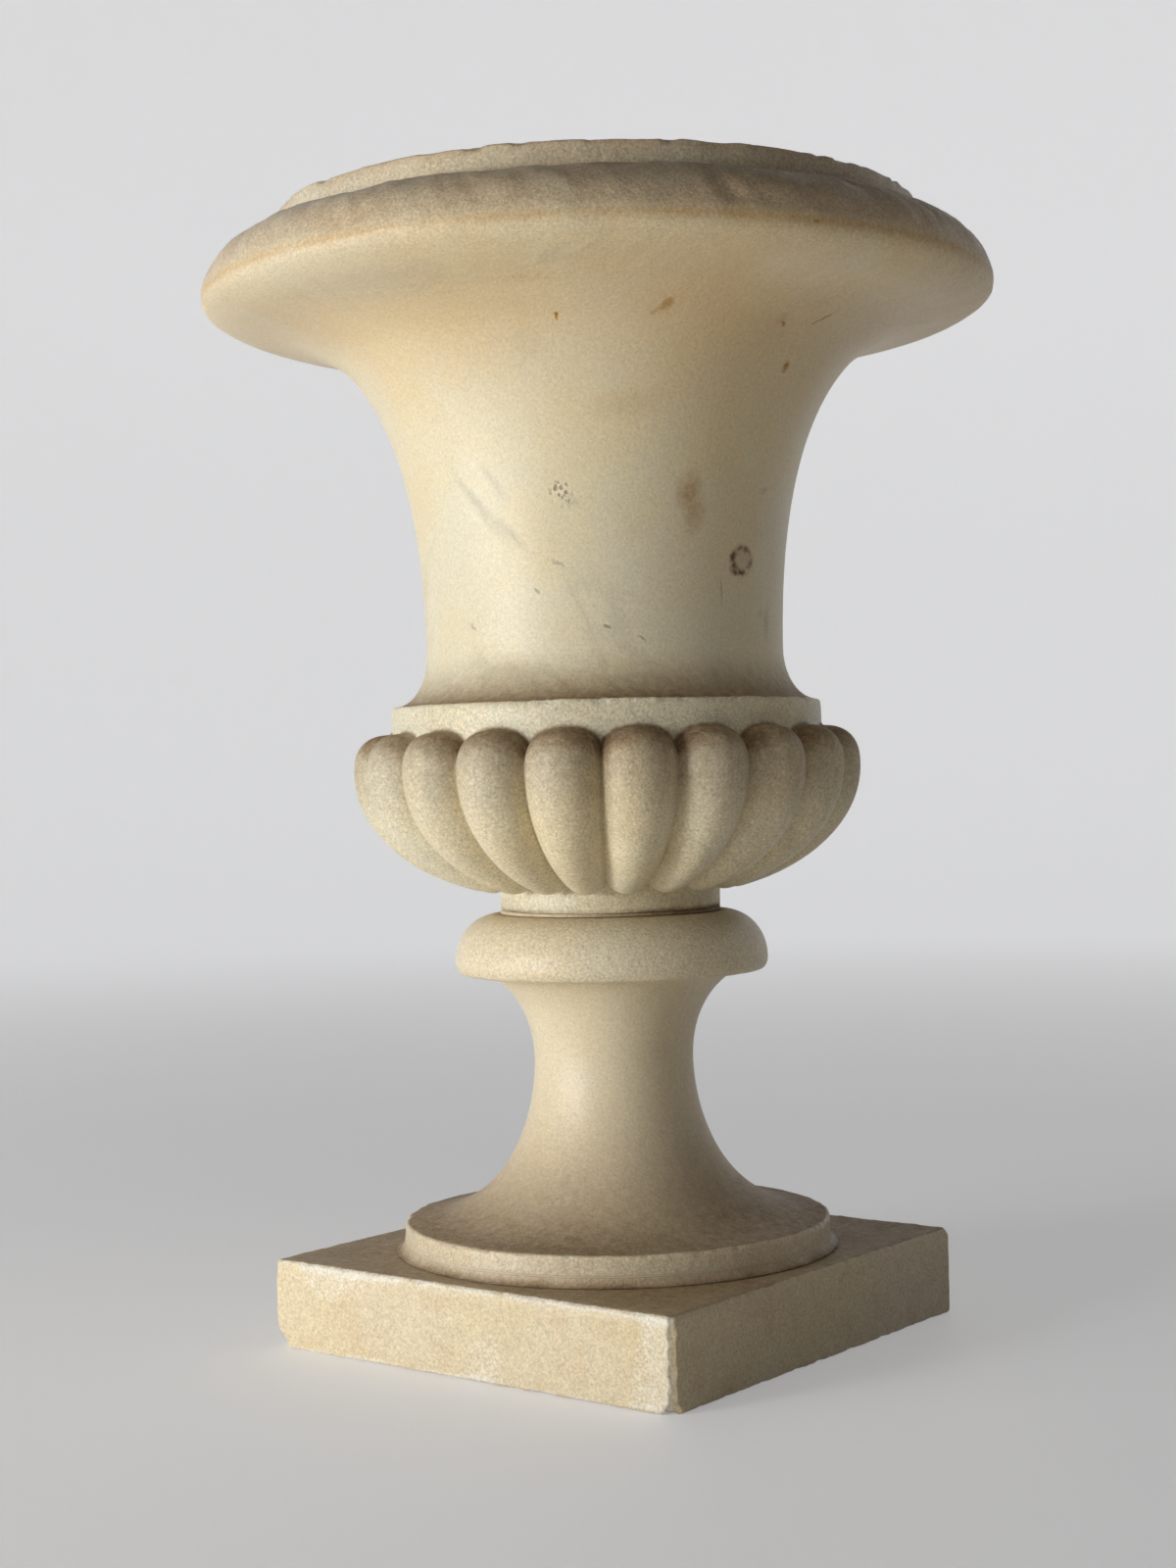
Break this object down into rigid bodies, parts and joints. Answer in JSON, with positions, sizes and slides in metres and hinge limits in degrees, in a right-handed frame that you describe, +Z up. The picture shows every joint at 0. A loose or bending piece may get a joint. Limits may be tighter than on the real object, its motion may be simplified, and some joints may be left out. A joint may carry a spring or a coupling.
{
  "type": "jardiniere",
  "caption": "Campana jardiniere in weathered white marble: flared bell-shaped bowl with a gadrooned underside, on a waisted socle and a square plinth, to hold a plant.",
  "frame": {"origin": "on the floor, at the middle of the plinth's underside", "axes": "+Z up along the axis of bowl, socle and tie rod; X and Y square to the plinth's sides"},
  "size_m": [0.2758, 0.2758, 0.3905],
  "materials": {
    "marble": "weathered white marble, sugary grain, brown patina on upward faces",
    "mortar": "matte lime mortar",
    "iron": "dull, lightly rusted wrought iron",
    "lead": "dull grey lead sheet"
  },
  "bodies": {
    "root": {"plinth": "marble", "plinth_bed": "mortar", "socle": "marble", "bowl_bed": "mortar", "bowl": "marble", "bowl_lead_pad": "lead", "bowl_washer": "iron", "bowl_nut": "iron", "plinth_lead_pad": "lead", "plinth_washer": "iron", "plinth_nut": "iron", "tie_rod": "iron"}
  },
  "joints": []
}
